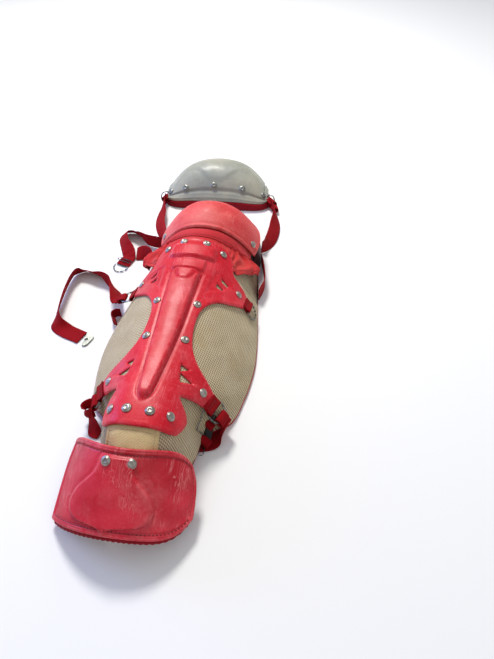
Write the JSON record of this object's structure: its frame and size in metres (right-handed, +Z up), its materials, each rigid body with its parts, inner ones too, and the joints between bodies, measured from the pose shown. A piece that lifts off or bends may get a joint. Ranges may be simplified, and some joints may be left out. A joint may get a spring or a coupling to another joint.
{
  "type": "catcher leg guard",
  "caption": "Padded leg guard with a ridged shin plate, knee and thigh caps, a toe cap and webbing straps that hook behind the leg.",
  "frame": {"origin": "bottom centre of the guard, straps included, as it lies on its back on the floor", "axes": "+Y along the leg from toe to thigh, +Z up out of the front of the guard, +X to the right as seen from above with the toe nearest"},
  "size_m": [0.3436, 0.8034, 0.11],
  "materials": {
    "plate": "glossy red moulded shell",
    "knee_shell": "faded, scuffed red moulded shell",
    "thigh_shell": "grey moulded shell",
    "mesh": "beige woven mesh over foam",
    "canvas": "beige canvas",
    "cloth": "gathered red cloth",
    "lining": "dark padding cloth",
    "webbing": "red woven webbing",
    "steel": "plated steel",
    "dark_steel": "dark coated steel wire"
  },
  "bodies": {
    "root": {"shin_pad": "mesh", "pad_binding_left": "webbing", "pad_binding_right": "webbing", "shin_plate": "plate", "rivet_top_outer_left": "steel", "rivet_top_outer_right": "steel", "rivet_top_inner_left": "steel", "rivet_top_inner_right": "steel", "rivet_wing_upper_left": "steel", "rivet_wing_upper_right": "steel", "rivet_waist_upper_left": "steel", "rivet_waist_upper_right": "steel", "rivet_waist_lower_left": "steel", "rivet_waist_lower_right": "steel", "rivet_wing_lower_left": "steel", "rivet_wing_lower_right": "steel", "rivet_foot_outer_left": "steel", "rivet_foot_outer_right": "steel", "rivet_foot_inner_left": "steel", "rivet_foot_inner_right": "steel", "knee_cap": "knee_shell", "rivet_knee_left": "steel", "rivet_knee_right": "steel", "knee_pad": "lining", "knee_flex": "cloth", "knee_band": "cloth", "thigh_cap": "thigh_shell", "rivet_thigh_end_left": "steel", "rivet_thigh_left": "steel", "rivet_thigh_middle": "steel", "rivet_thigh_right": "steel", "rivet_thigh_end_right": "steel", "thigh_pad": "webbing", "toe_cap": "plate", "rivet_toe_left": "steel", "rivet_toe_right": "steel", "toe_pad": "lining", "ankle_tab": "canvas", "keeper_upper_left": "webbing", "ring_upper_left": "steel", "keeper_upper_right": "webbing", "ring_upper_right": "steel", "keeper_lower_left": "webbing", "ring_lower_left": "steel", "keeper_lower_right": "webbing", "ring_lower_right": "steel", "upper_strap": "webbing", "upper_loop": "webbing", "knee_strap_left": "webbing", "knee_stub_left": "webbing", "knee_strap_right": "webbing", "thigh_strap_left": "webbing", "thigh_strap_right": "webbing", "lower_strap": "webbing", "lower_tail": "webbing", "hook_upper": "steel", "hook_knee": "dark_steel", "slide_knee": "dark_steel", "slide_lower": "dark_steel"}
  },
  "joints": []
}
